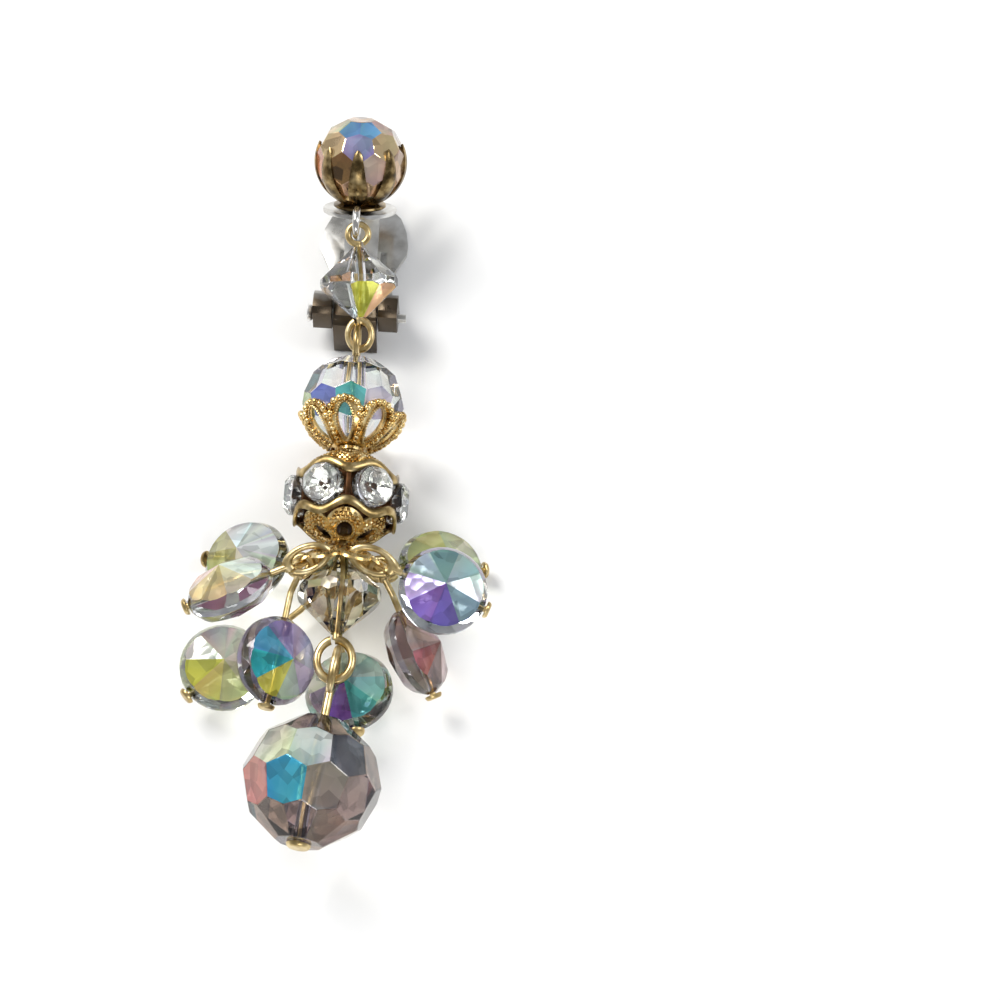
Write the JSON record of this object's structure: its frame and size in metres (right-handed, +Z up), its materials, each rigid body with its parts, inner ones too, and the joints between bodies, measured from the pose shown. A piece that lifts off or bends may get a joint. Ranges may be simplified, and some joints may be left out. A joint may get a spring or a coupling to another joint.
{
  "type": "clip-on chandelier earring",
  "caption": "Clip-on drop earring: a glass button over a sprung paddle, faceted glass beads on a looped pin, a stone-set ball, and a fringe of disc drops round a last large bead.",
  "frame": {"origin": "middle of the footprint, on the table that it lies on", "axes": "+Y toward the button and clip end, +Z up off the table, +X to the right seen from above"},
  "size_m": [0.0288, 0.0708, 0.0143],
  "materials": {
    "clip_metal": "worn silver-grey plating",
    "ring_metal": "bright silver wire",
    "gold_metal": "antiqued gold plating, granulated",
    "gold_wire": "polished gold wire",
    "crystal_clear": "cut glass with a rainbow coating",
    "crystal_champagne": "champagne cut glass with a rainbow coating",
    "crystal_drop": "cut glass discs with a rainbow coating",
    "crystal_ball": "large cut glass bead with a rainbow coating",
    "rhinestone": "foil-backed clear stone"
  },
  "bodies": {
    "earring": {"clip_front": "clip_metal", "hinge_pin": "clip_metal", "claw_cup": "gold_metal", "petal_cap": "gold_metal", "stone_ball_setting": "gold_metal", "drop_cap": "gold_metal", "drop_ring": "ring_metal", "bicone_eye_pin": "gold_wire", "main_eye_pin": "gold_wire", "ball_pin": "gold_wire", "drop_left_upper_pin": "gold_wire", "drop_left_hidden_pin": "gold_wire", "drop_right_upper_pin": "gold_wire", "drop_right_hidden_pin": "gold_wire", "drop_right_lower_pin": "gold_wire", "drop_left_lower_pin": "gold_wire", "drop_left_back_pin": "gold_wire", "drop_middle_back_pin": "gold_wire", "button_crystal": "crystal_clear", "bicone_crystal": "crystal_clear", "round_crystal": "crystal_clear", "lower_bicone": "crystal_champagne", "drop_left_upper_crystal": "crystal_drop", "drop_left_hidden_crystal": "crystal_drop", "drop_right_upper_crystal": "crystal_drop", "drop_right_hidden_crystal": "crystal_drop", "drop_right_lower_crystal": "crystal_drop", "drop_left_lower_crystal": "crystal_drop", "drop_left_back_crystal": "crystal_drop", "drop_middle_back_crystal": "crystal_drop", "ball_crystal": "crystal_ball", "rhinestone_1": "rhinestone", "rhinestone_2": "rhinestone", "rhinestone_3": "rhinestone", "rhinestone_4": "rhinestone", "rhinestone_5": "rhinestone", "rhinestone_6": "rhinestone"},
    "paddle": {"clip_paddle": "clip_metal"}
  },
  "joints": [
    {"name": "clip_hinge", "type": "hinge", "parent": "earring", "child": "paddle", "pos_m": [0.00131, 0.01752, 0.00341], "axis": [-0.9976, 0.0698, 0], "range_deg": [0, 60]}
  ]
}
